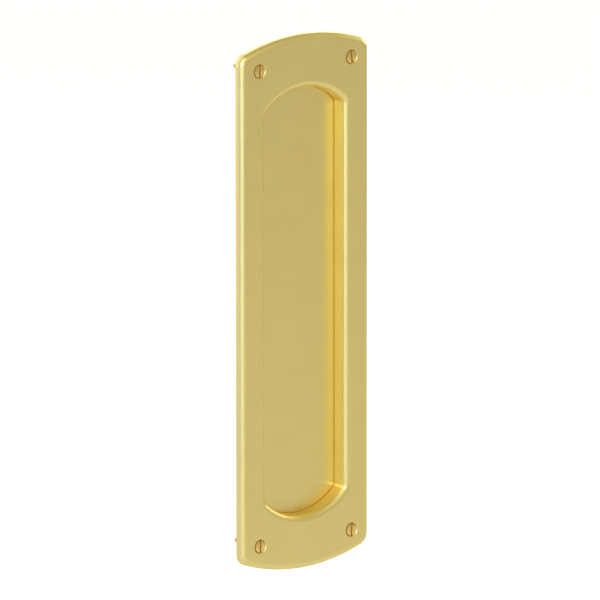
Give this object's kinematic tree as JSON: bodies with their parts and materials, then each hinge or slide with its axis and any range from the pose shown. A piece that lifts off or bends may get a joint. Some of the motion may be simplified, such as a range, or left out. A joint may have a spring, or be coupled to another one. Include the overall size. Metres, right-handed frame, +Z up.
{
  "type": "pocket door pull plate",
  "caption": "Arched brass flush pull plate with a sunk arch-ended well, a separate flat well floor and slotted countersunk wood screws at its corners.",
  "frame": {"origin": "centre of the screw pattern in the back plane of the plate, where it lies on the door's surface", "axes": "+X to the right seen from the front, +Y into the door, +Z up along the plate"},
  "size_m": [0.0762, 0.02, 0.254],
  "materials": {
    "satin_brass": "satin, lacquered",
    "polished_brass": "polished"
  },
  "bodies": {
    "root": {"face_frame": "satin_brass", "well_floor": "satin_brass", "mounting_screws": "polished_brass"}
  },
  "joints": []
}
